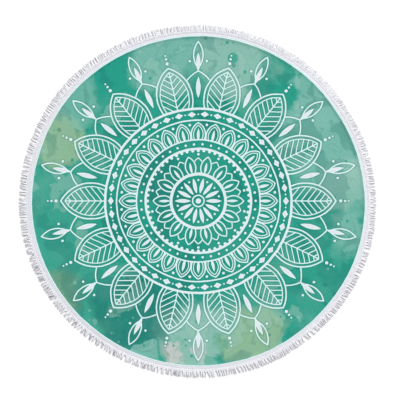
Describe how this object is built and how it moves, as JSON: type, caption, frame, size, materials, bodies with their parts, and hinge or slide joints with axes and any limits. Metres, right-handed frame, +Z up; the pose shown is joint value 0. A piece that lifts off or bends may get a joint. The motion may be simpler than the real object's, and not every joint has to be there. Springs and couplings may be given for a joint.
{
  "type": "round beach towel",
  "caption": "Round printed beach towel with a turned hem and a yarn fringe on a header tape, lying flat and face up.",
  "frame": {"origin": "middle of the towel's underside, on the surface that it lies on", "axes": "+Z up out of the printed face, +Y towards the top of the picture, +X to its right"},
  "size_m": [1.5089, 1.4878, 0.0043],
  "materials": {
    "printed_towelling": "short cropped pile, sea-green wash print with white linework and a plain white margin",
    "fringe_yarn": "off-white soft cotton yarn on a woven tape"
  },
  "bodies": {
    "root": {"cloth": "printed_towelling", "fringe": "fringe_yarn"}
  },
  "joints": []
}
